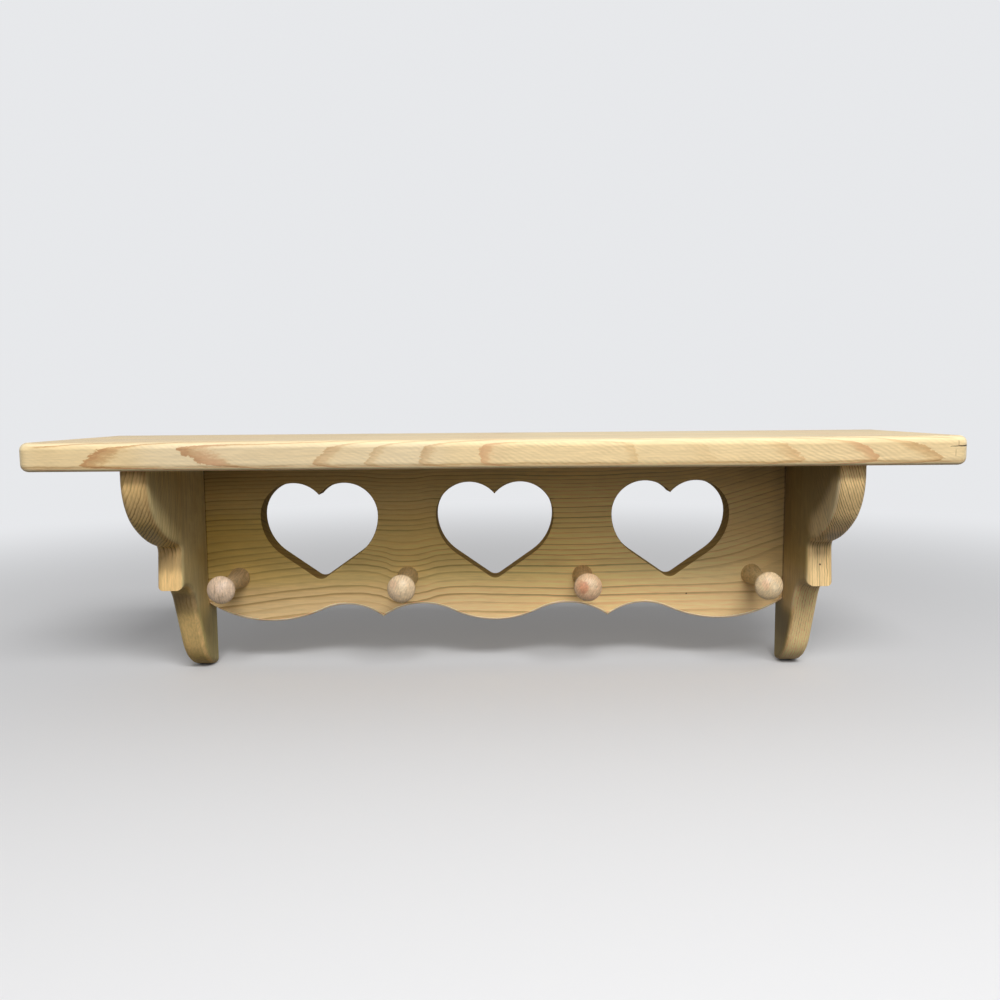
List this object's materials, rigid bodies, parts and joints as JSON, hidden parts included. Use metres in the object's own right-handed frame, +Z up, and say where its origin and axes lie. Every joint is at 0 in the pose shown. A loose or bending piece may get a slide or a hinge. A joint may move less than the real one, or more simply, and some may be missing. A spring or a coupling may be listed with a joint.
{
  "type": "shaker peg rail with shelf",
  "caption": "Wall shelf of pale pine on scrolled brackets, over a scalloped back rail with heart cut-outs and turned round-headed pegs for hanging things.",
  "frame": {"origin": "on the back of the rail, in the middle of its length, at the height where the two hanging screws rest", "axes": "+X to the right of someone who looks at the front, +Y into the wall, +Z up"},
  "size_m": [0.61, 0.148, 0.187],
  "materials": {
    "shelf_pine": "clear satin varnish on pale pine",
    "bracket_pine": "clear satin varnish on pale pine",
    "rail_pine": "clear satin varnish on pale pine",
    "peg_beech": "clear satin varnish on turned beech",
    "dowel_beech": "bare turned beech"
  },
  "bodies": {
    "root": {"shelf_board": "shelf_pine", "left_bracket": "bracket_pine", "right_bracket": "bracket_pine", "peg_rail": "rail_pine", "peg_1": "peg_beech", "peg_2": "peg_beech", "peg_3": "peg_beech", "peg_4": "peg_beech", "left_bracket_back_dowel": "dowel_beech", "left_bracket_front_dowel": "dowel_beech", "right_bracket_back_dowel": "dowel_beech", "right_bracket_front_dowel": "dowel_beech", "left_rail_top_dowel": "dowel_beech", "right_rail_top_dowel": "dowel_beech", "left_rail_end_upper_dowel": "dowel_beech", "left_rail_end_lower_dowel": "dowel_beech", "right_rail_end_upper_dowel": "dowel_beech", "right_rail_end_lower_dowel": "dowel_beech"}
  },
  "joints": []
}
